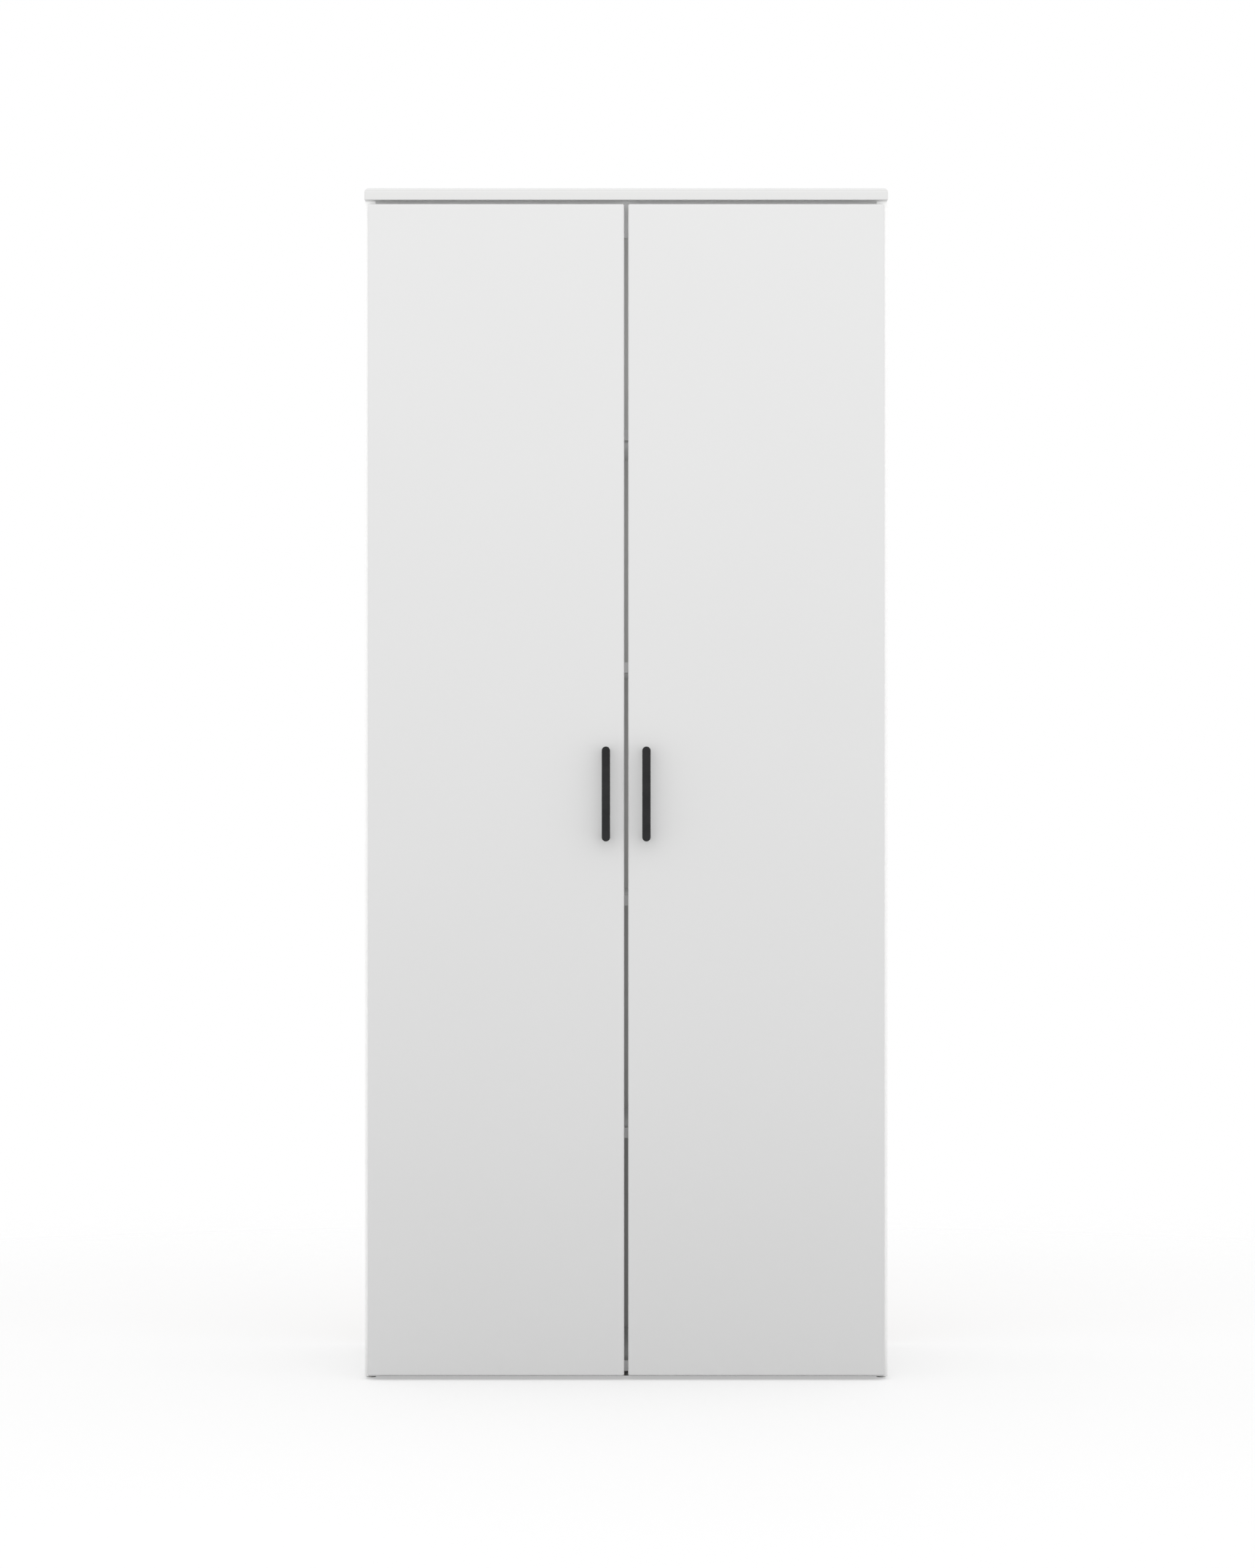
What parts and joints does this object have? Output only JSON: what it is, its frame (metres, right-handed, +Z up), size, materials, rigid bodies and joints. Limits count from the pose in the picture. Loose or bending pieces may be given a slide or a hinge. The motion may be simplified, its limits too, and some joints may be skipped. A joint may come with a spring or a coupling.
{
  "type": "wardrobe with doors",
  "caption": "Tall free-standing shelf wardrobe with outward-swinging doors on concealed cup hinges, round-ended bar handles and a full-width top panel over a shadow gap.",
  "frame": {"origin": "on the floor, under the middle of the whole object's box, handles included", "axes": "+X to the right seen from the front, +Y from the doors to the wall, +Z up"},
  "size_m": [0.79, 0.548, 1.8],
  "materials": {
    "white_melamine": "white melamine on particleboard, satin",
    "door_lacquer": "smooth white melamine door, satin",
    "white_hardboard": "white-faced hardboard, matte",
    "white_plastic": "moulded plastic, matte",
    "zinc_plated_steel": "bright zinc plate, satin",
    "nickel_plated_steel": "nickel plate, polished",
    "beech_dowel": "plain beech, matte",
    "clear_bumper": "soft translucent pad, satin",
    "black_handle": "black powder coat, matte"
  },
  "bodies": {
    "carcass": {"left_side": "white_melamine", "right_side": "white_melamine", "top_panel": "white_melamine", "bottom_panel": "white_melamine", "top_rail": "white_melamine", "shelf_1": "white_melamine", "shelf_2": "white_melamine", "fixed_shelf": "white_melamine", "shelf_4": "white_melamine", "shelf_pins": "zinc_plated_steel", "lower_back": "white_hardboard", "upper_back": "white_hardboard", "back_joint_strip": "white_plastic", "back_nails": "zinc_plated_steel", "cam_locks": "zinc_plated_steel", "cam_bolts": "zinc_plated_steel", "cam_caps": "white_plastic", "dowels": "beech_dowel", "side_glides": "white_plastic", "centre_feet": "white_plastic", "wall_brackets": "zinc_plated_steel", "wall_bracket_screws": "zinc_plated_steel", "door_bumpers": "clear_bumper", "left_hinge_plates": "nickel_plated_steel", "left_hinge_plate_screws": "nickel_plated_steel", "left_hinge_arms": "nickel_plated_steel", "left_hinge_arm_screws": "nickel_plated_steel", "left_hinge_arm_pins": "nickel_plated_steel", "right_hinge_plates": "nickel_plated_steel", "right_hinge_plate_screws": "nickel_plated_steel", "right_hinge_arms": "nickel_plated_steel", "right_hinge_arm_screws": "nickel_plated_steel", "right_hinge_arm_pins": "nickel_plated_steel"},
    "left_door_leaf": {"left_door": "door_lacquer", "left_handle": "black_handle", "left_handle_screws": "zinc_plated_steel", "left_hinge_cups": "nickel_plated_steel", "left_hinge_cup_pins": "nickel_plated_steel", "left_hinge_cup_screws": "nickel_plated_steel"},
    "left_outer_link_set": {"left_outer_links": "nickel_plated_steel"},
    "left_inner_link_set": {"left_inner_links": "nickel_plated_steel"},
    "right_door_leaf": {"right_door": "door_lacquer", "right_handle": "black_handle", "right_handle_screws": "zinc_plated_steel", "right_hinge_cups": "nickel_plated_steel", "right_hinge_cup_pins": "nickel_plated_steel", "right_hinge_cup_screws": "nickel_plated_steel"},
    "right_outer_link_set": {"right_outer_links": "nickel_plated_steel"},
    "right_inner_link_set": {"right_inner_links": "nickel_plated_steel"}
  },
  "joints": [
    {"name": "left_outer_links_on_arms", "type": "hinge", "parent": "carcass", "child": "left_outer_link_set", "pos_m": [-0.3576, -0.2244, 0.628], "axis": [0, 0, 1], "range_deg": [0, 29.84]},
    {"name": "left_door_on_outer_links", "type": "hinge", "parent": "left_outer_link_set", "child": "left_door_leaf", "pos_m": [-0.3802, -0.232, 0.628], "axis": [0, 0, -1], "range_deg": [0, 124.64]},
    {"name": "left_inner_links_on_arms", "type": "hinge", "parent": "carcass", "child": "left_inner_link_set", "pos_m": [-0.3576, -0.2349, 0.628], "axis": [0, 0, 1], "range_deg": [0, 23.52]},
    {"name": "right_outer_links_on_arms", "type": "hinge", "parent": "carcass", "child": "right_outer_link_set", "pos_m": [0.3576, -0.2244, 0.628], "axis": [0, 0, -1], "range_deg": [0, 29.84]},
    {"name": "right_door_on_outer_links", "type": "hinge", "parent": "right_outer_link_set", "child": "right_door_leaf", "pos_m": [0.3802, -0.232, 0.628], "axis": [0, 0, 1], "range_deg": [0, 124.64]},
    {"name": "right_inner_links_on_arms", "type": "hinge", "parent": "carcass", "child": "right_inner_link_set", "pos_m": [0.3576, -0.2349, 0.628], "axis": [0, 0, -1], "range_deg": [0, 23.52]}
  ],
  "couplings": [
    {"joint": "left_outer_links_on_arms", "follows": "left_door_on_outer_links", "ratio": 0.2378},
    {"joint": "left_inner_links_on_arms", "follows": "left_door_on_outer_links", "ratio": 0.18712},
    {"joint": "right_outer_links_on_arms", "follows": "right_door_on_outer_links", "ratio": 0.2378},
    {"joint": "right_inner_links_on_arms", "follows": "right_door_on_outer_links", "ratio": 0.18712}
  ]
}
